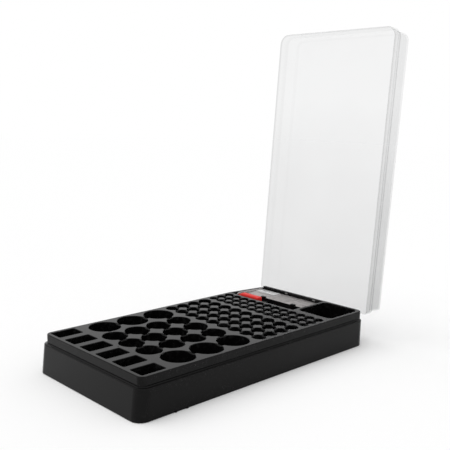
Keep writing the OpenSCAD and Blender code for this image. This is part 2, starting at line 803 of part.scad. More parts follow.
// Hairspring: a flat spiral band with its hub on the staff
module hairspring() {
    hub_in = staff_r + staff_play;
    hub_out = 2 * hub_in;
    first = hub_out - hairspring_band / 2;
    turns = [for (i = [0 : hairspring_turns * spiral_steps]) i / spiral_steps];
    inner = [for (n = turns) (first + hairspring_pitch * n) * [cos(360 * n), sin(360 * n)]];
    last = first + hairspring_band;
    outer = [for (n = turns) (last + hairspring_pitch * n) * [cos(360 * n), sin(360 * n)]];
    color("#4a5a8a") translate([pivot_x, pivot_y, spring_z]) difference() {
        union() {
            cylinder(h = leaf_t, r = hub_out);
            linear_extrude(leaf_t) polygon(concat(inner, [for (i = [len(outer) - 1 : -1 : 0]) outer[i]]));
        }
        translate([0, 0, -over]) cylinder(h = leaf_t + 2 * over, r = hub_in);
    }
}

// Needle on top of the staff, with its hub and tail
module needle() {
    hub_r = 2 * staff_r;
    color("#c62828") translate([pivot_x, pivot_y, needle_z]) rotate([0, 0, needle_zero]) {
        cylinder(h = leaf_t, r = hub_r);
        box([-needle_w / 2, -2 * hub_r, 0], [needle_w / 2, needle_r, leaf_t]);
    }
}

// Red sliding jaw: a low carriage in the channel with a tall thumb bar along its front
module slide_jaw() {
    color("#d8352f") {
        box([jaw_left, jaw_front, jaw_z], [jaw_right, jaw_rear, carriage_z]);
        box([jaw_left, jaw_front, jaw_z], [jaw_right, thumb_rear, t_face + thumb_h]);
    }
}

// Black block on the carriage, behind the working end of the thumb bar, that holds the contact
module contact_block() {
    color(black) box([jaw_right - block_l, thumb_rear + jaw_gap, carriage_z],
        [jaw_right, jaw_rear, carriage_z + block_h]);
}

// Contact plate on the working end of the jaw
module jaw_contact() {
    color(steel) box([jaw_right, contact_y - contact_w / 2, jaw_z],
        [jaw_right + contact_t, contact_y + contact_w / 2, jaw_z + contact_h]);
}

// Contact rail on the channel floor under the jaw
module contact_rail() {
    color(copper) box([channel_left, contact_y - rail_w / 2, channel_z],
        [jaw_right, contact_y + rail_w / 2, channel_z + rail_t]);
}

// Fixed contact at the far end of the channel, with its raised button
module fixed_contact() {
    color(steel) {
        box([channel_right - contact_t, contact_y - contact_w / 2, channel_z],
            [channel_right, contact_y + contact_w / 2, channel_z + contact_h]);
        bar_x(channel_right - 2 * contact_t, channel_right - contact_t,
            contact_y, channel_z + contact_h / 2, button_r);
    }
}

// Two load resistors lying on the bottom shell
module load_resistors() {
    color("#c9b48a") for (i = [0, 1])
        bar_x(bay_mid_x, bay_mid_x + resistor_l,
            contact_y + 4 * resistor_r * i, yoke_z + resistor_r, resistor_r);
}

// Nine-volt contact studs through the left wall of the top body
module nine_volt_studs() {
    color(steel) for (y = stud_places) bar_x(t_left, channel_left + contact_t, y, stud_z, stud_r);
}

// Four case screws from below
module case_screws() {
    color(steel) for (p = screw_places) {
        translate([p[0], p[1], t_z]) cylinder(h = screw_head_h, r = screw_head_r);
        translate([p[0], p[1], t_z]) cylinder(h = tester_wall + screw_l, r = screw_r);
    }
}

tray_shell();
deck_bars();
nine_volt_bank();
d_bank();
c_bank();
aa_bank();
aaa_bank();
parts_bin();
tester_bay();
hinge_ears();
hinge_pins();
lid();
lid_clips();
tester_back();
tester_body();
face_plate();
meter_window();
dial_plate();
meter_yoke();
meter_magnet();
meter_bridge();
pivot_staff();
moving_coil();
hairspring();
needle();
slide_jaw();
contact_block();
jaw_contact();
contact_rail();
fixed_contact();
load_resistors();
nine_volt_studs();
case_screws();
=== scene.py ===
import json
import math

import bmesh
import bpy
from mathutils import Matrix, Vector
from mathutils.geometry import delaunay_2d_cdt


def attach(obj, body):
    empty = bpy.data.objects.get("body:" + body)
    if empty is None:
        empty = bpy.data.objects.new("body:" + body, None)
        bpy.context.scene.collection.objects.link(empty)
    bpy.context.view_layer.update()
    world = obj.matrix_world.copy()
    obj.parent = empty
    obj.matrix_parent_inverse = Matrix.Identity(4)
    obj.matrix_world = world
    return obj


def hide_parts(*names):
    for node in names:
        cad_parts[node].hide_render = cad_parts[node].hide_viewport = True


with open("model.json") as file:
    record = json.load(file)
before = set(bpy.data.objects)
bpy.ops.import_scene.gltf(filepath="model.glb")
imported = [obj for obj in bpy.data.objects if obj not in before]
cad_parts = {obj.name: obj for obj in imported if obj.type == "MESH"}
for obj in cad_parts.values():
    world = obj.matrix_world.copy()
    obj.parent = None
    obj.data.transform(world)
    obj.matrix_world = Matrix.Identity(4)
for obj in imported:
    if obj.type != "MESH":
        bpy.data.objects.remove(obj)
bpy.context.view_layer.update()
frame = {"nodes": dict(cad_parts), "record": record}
MM = 0.001

# Sizes of the solids, in millimetres
TOP, LEDGE, DECK_T = 41.5, 31.2, 2.4
RIM_X, RIM_Y, RIM_R = 83.2, 166.6, 7.0
SKIRT_X, LEDGE_Y, FLARE, SKIRT_R, SKIRT_WALL = 87.4, 170.0, 3.2, 12.0, 2.2
IN_X, IN_Y, IN_R = 79.8, 163.2, 2.0
FLOOR_LOW, FLOOR_T, TUBE = 0.4, 1.2, 0.8
WELL_FLOOR = FLOOR_LOW + FLOOR_T
NV_COUNT, NV_PITCH, NV_W, NV_Y0, NV_Y1 = 6, 27.7, 18.6, -162.2, -134.2
DIP, DIP_Y, DIP_X = 2.85, 105.0, -76.8
BAY, BAY_FLOOR = (-78.8, 25.8, 103.5, 162.2), 12.9
BIN, BIN_FLOOR = (29.8, 78.8, 108.3, 162.2), 11.5
HINGE_Y, HINGE_Z, HINGE_X, LID_OPEN = 170.7, 34.0, 62.0, 94.1
LID_X, LID_Y0, LID_Y1, LID_R = 87.4, -170.0, 168.8, 12.0
LID_Z, LID_TOP, LID_SHOULDER, LID_STEP, LID_WALL, LID_PANEL = 31.5, 65.4, 43.3, 2.4, 1.5, 1.6
NOTCH_HALF, NOTCH_TOP, REAR_RELIEF = 9.6, 37.6, 1.5
PIVOT, FACE_Z, CHANNEL_REAR = (-58.4, 143.8), 37.7, 129.3
JAW_X, JAW_Y, JAW_TOP = (-71.8, -33.8), (105.8, 114.3), 43.5

# The rest of the sizes are forms of the scene alone.
# Angles at which a rounded edge and a rounded floor are cut into rings, and steps in a large corner
EDGE_TURN, FOOT_TURN, CORNER = range(90, -1, -18), range(0, 91, 30), 10
# Hollows: corner inside and outside, upper edge, foot of the wall
POCKET_R, POCKET_OUT_R, POCKET_EDGE, POCKET_FOOT = 1.4, 2.2, 0.7, 1.0
BIN_R, BIN_OUT_R, BIN_EDGE, BIN_FOOT = 6.5, 7.2, 0.8, 2.0
BAY_R, BAY_OUT_R, BAY_EDGE, BAY_FOOT = 1.0, 1.8, 0.6, 0.3
# Wells: foot of the wall, steps round the smallest circle, steps added for each 2 mm of radius
WELL_FOOT, WELL_STEPS, MORE_STEPS = 1.2, 24, 4
# Outsides of the hollows below the deck: wall, lower edge, share of it in the middle of the bend
OUT_WALL, OUT_EDGE, OUT_BEND = 0.9, 0.5, 0.3
# Extra points: along the left edge, where the rim slopes, and beside the slope's end on the bay's rear edge
SLOPE_STEP, SLOPE_COUNT, BAY_SPLIT = 5.4, 10, (-0.1, 0.3)
# Bevel round a well: its width, the room beyond which it keeps it, and the ridge and sag of a thinner web
WELL_EDGE, OPEN_WEB, RIDGE, SAG = 0.5, 1.8, 0.04, 1.0
# Webs: widest gap, least cosine of the direction to the next well, fade of the web, lift of its ridge
WEB_GAP, WEB_AHEAD, WEB_FADE, RIDGE_LIFT = 4.0, 0.3, 0.6, 45
# Shape of the bevel as shares of its width: offset, depth, and the lift of the surface
BEVEL = (
    (1.0, 0.0, 90),
    (0.93, 0.02, 68),
    (0.85, 0.09, 45),
    (0.12, 0.82, 45),
    (0.03, 0.92, 22),
    (0.0, 1.02, 0),
)
# Rim's edge; ledge: largest fillet, its share of the ledge, largest tilt, width at which it would be whole
RIM_EDGE, LEDGE_FILLET, FILLET_SHARE, LEDGE_TILT, LEDGE_WIDE = 1.0, 0.9, 0.3, 0.78, 1.5
# A ledge narrower than this counts as none.
NO_LEDGE = 1e-6
# Skirt below the ledge: height, offset, lift
SKIRT_RINGS = ((22.0, 0, 0), (12.0, 0, 0), (0.8, 0, 0), (0.25, -0.2, -35), (0, -0.6, -90))
# How far edges are rubbed: the ledge's, and the foot's up to a height
LEDGE_WEAR, FOOT_WEAR_Z = 0.7, 1.0
# Gate marks in the deck: places, radius, edge, depth, foot, steps round one
GATES = ((0.4, -13.4), (0.4, -132.2))
GATE_R, GATE_EDGE, GATE_DEPTH, GATE_FOOT, GATE_STEPS = 0.7, 0.25, 0.9, 0.2, 12
# Gate mark on the lid: steps round it, and its rings with radius, height, lift
LID_GATE_STEPS = 20
GATE_RINGS = (
    (3.0, 0.0, 90),
    (2.6, 0.06, 60),
    (2.2, 0.3, 45),
    (1.8, 0.36, 90),
    (1.1, 0.36, 90),
    (0.8, 0.1, 90),
)
# Lid: rear corner, panel's bend outside and inside, width over which a bend's painted shade fades, grey of
# that painted shade
LID_REAR_R, LID_BEND, LID_BEND_IN, LID_FADE, BEND_SHADE = 5.0, 2.6, 1.6, 3.0, 0.2
# Lid's shoulder from above: inset, height over the shoulder, lift, grey of the painted shade
SHOULDER_RINGS = (
    (LID_STEP, LID_FADE, 0, 0.0),
    (LID_STEP, 0.7, 0, 0.45),
    (LID_STEP - 0.2, 0.2, 45, 0.45),
    (LID_STEP - 0.7, 0.0, 90, 0.45),
    (0.8, 0.0, 90, 0.45),
    (0.24, -0.24, 45, 0.45),
    (0.0, -0.8, 0, 0.3),
)
# Lid's rim, down the outside and up the inside: inset, height over its edge, side, lift, grey of the
# painted shade
LID_RIM_RINGS = (
    (0.0, 3.5, 1, 0, 0.0),
    (0.0, 0.4, 1, 0, 1.0),
    (0.4, 0.0, 1, -90, 1.0),
    (LID_WALL - 0.4, 0.0, -1, -90, 1.0),
    (LID_WALL, 0.4, -1, 0, 1.0),
    (LID_WALL, 3.5, -1, 0, 0.0),
)
# Lid's least corners, room kept under the shoulder, softness inside it, half a notch's slanted side
LID_LEAST_R, LID_LEAST_REAR_R, RIM_ROOM, INNER_SOFT, NOTCH_SLANT = 2.0, 1.0, 2.4, 0.5, 0.02
# Extra points on the lid's rear edge between the notches
LID_MARKS = (-30.0, 0.0, 30.0)
# Copies of solids, in degrees: faces this flat are joined, edges this sharp rounded, the rest shaded smooth
FLAT, SHARP, SMOOTH = 1.5, 35, 32
# Red bar: length and height of its ramp, rounding, and how near its top and end a point counts as on them
JAW_RAMP, JAW_EDGE, NEAR = (8.5, 3.2), 1.6, 0.1
# Ribs on the red bar: pitch, half width, inset, rise, sinking, edge
RIB_PITCH, RIB_HALF, RIB_INSET, RIB_RISE, RIB_SUNK, RIB_EDGE = 3.2, 0.6, 2.0, 0.15, 0.4, 0.2
# Tester's raised end: limits of its section and of its length, and steps along it
GRIP_X, GRIP_Y, GRIP_STEPS = (-78.3, -76.95, -75.0), (112.0, 161.4), 16
# The same end: gap to the rim's top, length of its ramp, width of its top, sinking
GRIP_GAP, GRIP_RAMP, GRIP_TOP_W, GRIP_SUNK = 0.25, 4, 0.7, 0.1
# Catches on the bay's rear wall: places, half width, part before and in the wall, heights, edge
CATCHES, CATCH_HALF, CATCH_OUT, CATCH_IN = (-35.0, 11.4), 2.3, 0.3, 0.4
CATCH_Z, CATCH_EDGE = (38.8, 40.5), 0.25
# Lugs at the foot of the right side: places, half width, part before and in the skirt, heights, edge
LUGS, LUG_HALF, LUG_OUT, LUG_IN = (-130.0, -116.0), 1.3, 0.7, 0.6
LUG_Z, LUG_EDGE = (0.05, 1.6), 0.35
# Print on the tester's face: line, half its height, signs' distance from the ends, half a sign, pole
LINE, PRINT_HALF, SIGN_IN, SIGN_HALF, POLE = 0.45, 0.02, 3, 1, 1
# Printed cells: left, front, length, width
MARKS = (
    (-36.0, 146.5, 27.0, 10.5),
    (-3.0, 147.2, 22.0, 9.0),
    (-36.0, 134.5, 25.0, 6.6),
    (-3.0, 135.2, 20.0, 5.2),
)

# Height of the plastics' grain and the metals' streaks, in metres
GRAIN_DEPTH = 0.00002
# Dial: limits of the arc and of the ticks in metres, width of a tick and half the arc in radians
ARC_R, TICK_R, TICK_ANGLE, ARC_REACH = (0.0078, 0.0102), (0.0108, 0.0124), 0.03, math.radians(40)

# Rays that see the white background: direct, mirrored and through the lid
BACKGROUND_RAYS = ("Is Camera Ray", "Is Glossy Ray", "Is Transmission Ray")
# Light: the world's strength, and the sky lamp's strength, width and tilt
WORLD_STRENGTH, SKY_STRENGTH, SKY_WIDTH, SKY_TILT = 0.6, 1.35, 75, (22, -14)
# Floor: size and height in metres, its grey, its glow, and its grey for rays that don't see the background
FLOOR_SIZE, FLOOR_Z, FLOOR_GREY, FLOOR_GLOW, FLOOR_DIM = 12, -0.0003, 0.9, 0.11, 0.22
# The photograph's viewpoint: turn, pitch and roll in degrees, and place from the deck in millimetres
VIEW_ANGLES, VIEW_PLACE = (45.837, 11.064, 1.257), (541.731, -512.844, 227.407)
# Its sensor's width and lens in millimetres, and the shift of the picture
SENSOR, LENS, SHIFT_Y = 36, 55.034, 0.0562


# Materials
def material(name):
    m = bpy.data.materials.new(name)
    m.use_nodes = True
    nodes, links = m.node_tree.nodes, m.node_tree.links
    return m, nodes, links, nodes["Principled BSDF"]


def node(nodes, kind, **values):
    """A new node with its own settings, or else its inputs, set."""
    n = nodes.new(kind)
    for key, value in values.items():
        if hasattr(n, key):
            setattr(n, key, value)
        else:
            n.inputs[key].default_value = value
    return n


def noise(nodes, links, scale, detail, stretch=(1, 1, 1)):
    """Noise in the piece's own metres, so it stays on the piece when it moves."""
    where = node(nodes, "ShaderNodeTexCoord")
    mapping = node(nodes, "ShaderNodeMapping", Scale=stretch)
    tex = node(nodes, "ShaderNodeTexNoise", Scale=scale, Detail=detail, Roughness=0.55)
    links.new(where.outputs["Object"], mapping.inputs["Vector"])
    links.new(mapping.outputs["Vector"], tex.inputs["Vector"])
    return tex.outputs["Fac"]


def places(nodes, links):
    """Sockets of the place on the piece, in metres."""
    where = node(nodes, "ShaderNodeTexCoord")
    parts = node(nodes, "ShaderNodeSeparateXYZ")
    links.new(where.outputs["Object"], parts.inputs[0])
    return parts.outputs


def ramp(nodes, links, source, stops, constant=False):
    r = node(nodes, "ShaderNodeValToRGB")
    if constant:
        r.color_ramp.interpolation = "CONSTANT"
    els = r.color_ramp.elements
    while len(els) < len(stops):
        els.new(0.5)
    for el, (at, colour) in zip(els, stops):
        el.position = at
        el.color = (*colour, 1)
    links.new(source, r.inputs["Fac"])
    return r.outputs["Color"]


def spread(nodes, links, source, low, high, start=0.3, end=0.7):
    """Maps the range from start to end to the range from low to high."""
    m = node(nodes, "ShaderNodeMapRange")
    for key, value in (("From Min", start), ("From Max", end), ("To Min", low), ("To Max", high)):
        m.inputs[key].default_value = value
    links.new(source, m.inputs["Value"])
    return m.outputs["Result"]


def sums(nodes, links, kind, a, b=0.0):
    """One step of arithmetic on two sockets or numbers."""
    m = node(nodes, "ShaderNodeMath", operation=kind)
    for slot, value in zip(m.inputs, (a, b)):
        if isinstance(value, (int, float)):
            slot.default_value = value
        else:
            links.new(value, slot)
    return m.outputs[0]


def blend(nodes, links, share, a, b):
    """Colour a where the share is 0, colour b where it is 1. The node's colour sockets are 6, 7 and 2."""
    m = node(nodes, "ShaderNodeMix", data_type="RGBA")
    links.new(share, m.inputs["Factor"])
    for slot, value in ((m.inputs[6], a), (m.inputs[7], b)):
        if isinstance(value, tuple):
            slot.default_value = (*value, 1)
        else:
            links.new(value, slot)
    return m.outputs[2]


def bump(nodes, links, bsdf, height, strength):
    b = node(nodes, "ShaderNodeBump", Strength=strength, Distance=GRAIN_DEPTH)
    links.new(height, b.inputs["Height"])
    links.new(b.outputs["Normal"], bsdf.inputs["Normal"])


def edge_value(nodes):
    """The value that the mesh holds for its edges: rubbed plastic on the tray, and painted shade on the
    lid's clear bends.
    """
    return node(nodes, "ShaderNodeAttribute", attribute_name="wear_and_shade").outputs["Fac"]


def moulded(name, dark, light, rough, specular, grain, scuff=None):
    """Moulded plastic: fine sparked grain, slow gloss changes, faint flow marks and rubbed edges."""
    m, nodes, links, bsdf = material(name)
    flow = noise(nodes, links, scale=18, detail=3, stretch=(1, 0.35, 1))
    colour = ramp(nodes, links, flow, [(0.3, dark), (0.7, light)])
    gloss = spread(nodes, links, noise(nodes, links, scale=60, detail=5), rough - 0.04, rough + 0.05)
    if scuff:
        spots = noise(nodes, links, scale=220, detail=6)
        patch = spread(nodes, links, spots, 0.0, 1.0, start=0.5, end=0.68)
        rub = sums(nodes, links, "MULTIPLY", edge_value(nodes), patch)
        colour = blend(nodes, links, rub, colour, scuff)
        gloss = sums(nodes, links, "ADD", gloss, sums(nodes, links, "MULTIPLY", rub, 0.12))
    links.new(colour, bsdf.inputs["Base Color"])
    links.new(gloss, bsdf.inputs["Roughness"])
    bump(nodes, links, bsdf, noise(nodes, links, scale=grain, detail=2), strength=0.3)
    bsdf.inputs["Specular IOR Level"].default_value = specular
    return m


def metal(name, dark, light, rough, stretch=(1, 1, 1), scale=300):
    """Plain metal with streaks in its colour, gloss and surface."""
    m, nodes, links, bsdf = material(name)
    streak = noise(nodes, links, scale, detail=6, stretch=stretch)
    links.new(ramp(nodes, links, streak, [(0.3, dark), (0.7, light)]), bsdf.inputs["Base Color"])
    links.new(spread(nodes, links, streak, rough - 0.06, rough + 0.1), bsdf.inputs["Roughness"])
    bump(nodes, links, bsdf, streak, strength=0.12)
    bsdf.inputs["Metallic"].default_value = 1.0
    return m


def clear(name, thin, lower_shade, edge, rough, through, ior, low, high):
    """Clear plastic with a faint random haze, a tint that darkens from a high to a low Z, in metres, as
    painted shade, and greyer edges, painted shade where the mesh marks bends.
    """
    m, nodes, links, bsdf = material(name)
    haze = noise(nodes, links, scale=9, detail=3)
    # Darker towards the low Z: painted shade.
    level = spread(nodes, links, places(nodes, links)["Z"], 0.0, 1.0, low, high)
    level = sums(nodes, links, "ADD", level, spread(nodes, links, haze, -0.12, 0.12))
    colour = ramp(nodes, links, level, [(0.0, lower_shade), (1.0, thin)])
    # Greyer edges where the mesh's edge value is set: painted shade at the lid's bends.
    links.new(blend(nodes, links, edge_value(nodes), colour, edge), bsdf.inputs["Base Color"])
    links.new(spread(nodes, links, haze, rough - 0.03, rough + 0.03), bsdf.inputs["Roughness"])
    bsdf.inputs["Transmission Weight"].default_value = through
    bsdf.inputs["IOR"].default_value = ior
    bsdf.inputs["Coat Weight"].default_value = 0.12
    bsdf.inputs["Coat Roughness"].default_value = 0.06
    return m


def dial_face():
    """White enamel with a coloured arc in three zones and a row of ticks round the needle's pivot."""
    m, nodes, links, bsdf = material("dial_enamel")
    place = places(nodes, links)
    x = sums(nodes, links, "SUBTRACT", place["X"], PIVOT[0] * MM)
    y = sums(nodes, links, "SUBTRACT", place["Y"], PIVOT[1] * MM)
    angle = sums(nodes, links, "ARCTAN2", x, y)
    squares = [sums(nodes, links, "MULTIPLY", v, v) for v in (x, y)]
    radius = sums(nodes, links, "SQRT", sums(nodes, links, "ADD", *squares))

    def band(value, low, high):
        above = sums(nodes, links, "GREATER_THAN", value, low)
        return sums(nodes, links, "MULTIPLY", above, sums(nodes, links, "LESS_THAN", value, high))

    sector = band(angle, -ARC_REACH, ARC_REACH)
    zones = spread(nodes, links, angle, 0.0, 1.0, -ARC_REACH, ARC_REACH)
    stops = [(0.0, (0.62, 0.03, 0.02)), (0.36, (0.8, 0.5, 0.02)), (0.56, (0.03, 0.36, 0.06))]
    paint = ramp(nodes, links, zones, stops, constant=True)
    speck = noise(nodes, links, scale=900, detail=3)
    enamel = ramp(nodes, links, speck, [(0.3, (0.78, 0.78, 0.76)), (0.7, (0.84, 0.84, 0.82))])
    arc = sums(nodes, links, "MULTIPLY", sector, band(radius, *ARC_R))
    step = sums(nodes, links, "MODULO", sums(nodes, links, "ADD", angle, 2 * ARC_REACH), ARC_REACH / 5)
    tick = sums(nodes, links, "MULTIPLY", band(radius, *TICK_R), band(step, 0.0, TICK_ANGLE))
    tick = sums(nodes, links, "MULTIPLY", sector, tick)
    colour = blend(nodes, links, tick, blend(nodes, links, arc, enamel, paint), (0.02, 0.02, 0.02))
    links.new(colour, bsdf.inputs["Base Color"])
    links.new(spread(nodes, links, speck, 0.38, 0.5), bsdf.inputs["Roughness"])
    return m


black = moulded("black_styrene", dark=(0.0022, 0.0022, 0.0024), light=(0.0042, 0.004, 0.004),
                rough=0.1, specular=0.12, grain=1400, scuff=(0.012, 0.012, 0.012))
black_case = moulded("black_case", dark=(0.003, 0.003, 0.0032), light=(0.006, 0.0058, 0.0058),
                     rough=0.26, specular=0.06, grain=1800)
red = moulded("red_styrene", dark=(0.7, 0.028, 0.024), light=(0.82, 0.045, 0.036),
              rough=0.3, specular=0.2, grain=1600)
ink = moulded("printed_ink", dark=(0.02, 0.02, 0.022), light=(0.05, 0.05, 0.052),
              rough=0.5, specular=0.3, grain=2400)
# Pale colour of the catches: painted highlight for the light caught on their tops.
catch_highlight = moulded("catch_painted_highlight", dark=(0.13, 0.13, 0.128), light=(0.2, 0.2, 0.195),
                rough=0.45, specular=0.4, grain=1800)
magnet = moulded("sintered_magnet", dark=(0.03, 0.03, 0.034), light=(0.06, 0.06, 0.065),
                 rough=0.55, specular=0.4, grain=2600)
resistor = moulded("resistor_body", dark=(0.5, 0.38, 0.22), light=(0.62, 0.49, 0.3),
                   rough=0.45, specular=0.45, grain=2200)
needle_paint = moulded("needle_paint", dark=(0.02, 0.02, 0.02), light=(0.035, 0.03, 0.03),
                       rough=0.4, specular=0.45, grain=2600)
# The lid's tint darkens towards its lower part as painted shade, for the lid taking less light lower down;
# its greyer bends are painted shade too.
lid_clear = clear("clear_styrene", thin=(0.902, 0.903, 0.904), lower_shade=(0.768, 0.769, 0.77),
                  edge=(0.72, 0.721, 0.722), rough=0.12, through=1.0, ior=1.01, low=0.06, high=0.3)
window_clear = clear("clear_window", thin=(0.74, 0.74, 0.74), lower_shade=(0.66, 0.66, 0.66),
                     edge=(0.66, 0.66, 0.66), rough=0.2, through=0.4, ior=1.3, low=0.03, high=0.04)
silver = metal("silver_plate", dark=(0.36, 0.342, 0.337), light=(0.54, 0.516, 0.509),
               rough=0.5, stretch=(0.06, 1, 1), scale=900)
steel = metal("plated_steel", dark=(0.5, 0.5, 0.52), light=(0.66, 0.66, 0.68),
              rough=0.24, stretch=(1, 1, 0.2))
brass = metal("rolled_brass", dark=(0.62, 0.43, 0.17), light=(0.78, 0.56, 0.25),
              rough=0.28, stretch=(0.1, 1, 1))
copper = metal("enamelled_wire", dark=(0.42, 0.16, 0.06), light=(0.6, 0.27, 0.1),
               rough=0.24, stretch=(1, 1, 8), scale=500)
bronze = metal("spring_bronze", dark=(0.4, 0.27, 0.13), light=(0.56, 0.38, 0.19), rough=0.3)
dial = dial_face()


# Outlines and mesh building
def circle(cx, cy, r, n):
    """Outline maker for a circle: points and outward directions, grown by one offset or one for each."""

    def at(off):
        ang = [2 * math.pi * i / n for i in range(n)]
        d = [(math.cos(a), math.sin(a)) for a in ang]
        grow = off if isinstance(off, list) else [off] * n
        return [(cx + (r + g) * x, cy + (r + g) * y) for (x, y), g in zip(d, grow)], d

    return at


def rrect(x0, x1, y0, y1, r, n=6, rear=(), left=(), rear_r=None):
    """Outline maker for a rounded rectangle, with extra points on its rear and left edges."""
    b = rear_r or r
    corners = (
        (x1 - b, y1 - b, b, 0),
        (x0 + b, y1 - b, b, 90),
        (x0 + r, y0 + r, r, 180),
        (x1 - r, y0 + r, r, 270),
    )

    def at(off):
        pts, dirs = [], []
        for k, (cx, cy, curve, a0) in enumerate(corners):
            for i in range(n + 1):
                a = math.radians(a0 + 90 * i / n)
                dirs.append((math.cos(a), math.sin(a)))
                pts.append((cx + (curve + off) * dirs[-1][0], cy + (curve + off) * dirs[-1][1]))
            if k == 0:
                for x in sorted(rear, reverse=True):
                    pts.append((x, y1 + off))
                    dirs.append((0, 1))
            if k == 1:
                for y in sorted(left, reverse=True):
                    pts.append((x0 - off, y))
                    dirs.append((-1, 0))
        return pts, dirs

    return at


class Shell:
    """Collects rings of points with their own smooth normals into one mesh."""

    def __init__(self):
        self.v, self.n, self.f, self.w = [], [], [], []

    def ring(self, pts, dirs, z, side, lift, wear_and_shade=0.0):
        """Height and lift are one number or one for each point; lift turns the normal from level to up."""
        first = len(self.v)
        for i, ((x, y), (dx, dy)) in enumerate(zip(pts, dirs)):
            h = z[i] if isinstance(z, (list, tuple)) else z
            a = math.radians(lift[i] if isinstance(lift, (list, tuple)) else lift)
            self.v.append((x * MM, y * MM, h * MM))
            self.n.append((side * dx * math.cos(a), side * dy * math.cos(a), math.sin(a)))
            self.w.append(wear_and_shade)
        return list(range(first, len(self.v)))

    def join(self, a, b, side):
        """Quads between an upper ring and the next one down; side 1 faces out, -1 faces in."""
        count = len(a)
        for i in range(count):
            j = (i + 1) % count
            q = (a[i], b[i], b[j], a[j])
            self.f.append(q if side > 0 else q[::-1])

    def chain(self, rings, side):
        for a, b in zip(rings, rings[1:]):
            self.join(a, b, side)

    def cap(self, ring, up=True):
        self.f.append(tuple(ring) if up else tuple(reversed(ring)))

    def plane(self, loops, up=True):
        """Fills the area inside the first loop and outside the others."""
        index = [i for loop in loops for i in loop]
        at = {i: k for k, i in enumerate(index)}
        faces = [[at[i] for i in loop] for loop in loops]
        pts = [Vector(self.v[i]).xy / MM for i in index]
        out = delaunay_2d_cdt(pts, [], faces, 2, 1e-6)
        source = [index[o[0]] for o in out[3]]
        for face in out[2]:
            tri = [source[k] for k in face]
            a, b, c = (Vector(self.v[i]).xy for i in tri)
            ccw = (b - a).cross(c - a) > 0
            self.f.append(tuple(tri) if ccw == up else tuple(reversed(tri)))

    def build(self, name, mat, body, replaced, turn=None):
        mesh = bpy.data.meshes.new(name)
        mesh.from_pydata(self.v, [], self.f)
        mesh.validate()
        for p in mesh.polygons:
            p.use_smooth = True
        mesh.normals_split_custom_set_from_vertices([Vector(n).normalized() for n in self.n])
        # The edge value is rubbed wear on the tray and painted shade at the lid's bends.
        mesh.attributes.new("wear_and_shade", "FLOAT", "POINT").data.foreach_set("value", self.w)
        if turn is not None:
            mesh.transform(turn)
        piece(name, mesh, mat, body, replaced)


def piece(name, mesh, mat, body, replaced=()):
    """A visible piece that rides on a body and stands for the replaced nodes."""
    obj = bpy.data.objects.new(name, mesh)
    bpy.context.scene.collection.objects.link(obj)
    mesh.materials.clear()
    mesh.materials.append(mat)
    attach(obj, body)
    if replaced:
        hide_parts(*replaced)
    return obj


def dip(x, y):
    """How far the left rim is let down beside the tester, sloping to the rear corner."""
    return DIP * max(0.0, (y - DIP_Y) / (RIM_Y - DIP_Y)) if x < DIP_X else 0.0


def no_dip(x, y):
    return 0.0


def round_edge(width):
    """Offset, depth and lift of the rings of a round edge."""
    turns = [math.radians(lift) for lift in EDGE_TURN]
    return [(width * (1 - math.cos(a)), width * (1 - math.sin(a)), math.degrees(a)) for a in turns]


def bevel_edge(width):
    return [(width * off, width * deep, lift) for off, deep, lift in BEVEL]


def web_edges(x, y, r, n, wells):
    """Bevel widths round a well, and how far its edge is part of a thin web, where two bevels meet."""
    widths = []
    for i in range(n):
        a = 2 * math.pi * i / n
        room = OPEN_WEB
        for ox, oy, other in wells:
            apart = math.hypot(ox - x, oy - y)
            gap = apart - r - other
            along = (math.cos(a) * (ox - x) + math.sin(a) * (oy - y)) / apart if apart > r else 0
            if gap < WEB_GAP and along > WEB_AHEAD:
                room = min(room, (r + gap / 2) / along - r)
        meet = min(1.0, (OPEN_WEB - room) / WEB_FADE)
        widths.append((WELL_EDGE + (room - RIDGE - WELL_EDGE) * meet, meet))
    return widths


def sunk(shell, outline, edge, floor, foot, drop=no_dip, widths=None):
    """A hollow in the deck: shaped edge, wall, rounded foot and floor. Returns its top loop."""
    rings = []
    for off, deep, lift in edge:
        pts, dirs = outline([off * w for w, _ in widths] if widths else off)
        web = widths or [(1.0, 0.0)] * len(pts)
        zs = [TOP - deep * w - SAG * meet - drop(*p) for p, (w, meet) in zip(pts, web)]
        lifts = [lift - max(0, lift - RIDGE_LIFT) * meet for _, meet in web]
        rings.append(shell.ring(pts, dirs, zs, -1, lifts, 1.0))
    for lift in FOOT_TURN:
        a = math.radians(lift)
        pts, dirs = outline(-foot * (1 - math.cos(a)))
        rings.append(shell.ring(pts, dirs, floor + foot * (1 - math.sin(a)), -1, lift))
    shell.chain(rings, -1)
    shell.cap(rings[-1], True)
    return rings[0]


def boss(shell, outline, top, low):
    """The outside of a hollow below the deck."""
    bend = OUT_EDGE * OUT_BEND
    rows = ((top, 0, 0), (low + OUT_EDGE, 0, 0), (low + bend, -bend, -45), (low, -OUT_EDGE, -90))
    rings = []
    for z, off, lift in rows:
        pts, dirs = outline(off)
        rings.append(shell.ring(pts, dirs, z, 1, lift))
    shell.chain(rings, 1)
    shell.cap(rings[-1], False)


def grown(box):
    """A hollow's box, grown by the wall round it."""
    return box[0] - OUT_WALL, box[1] + OUT_WALL, box[2] - OUT_WALL, box[3] + OUT_WALL


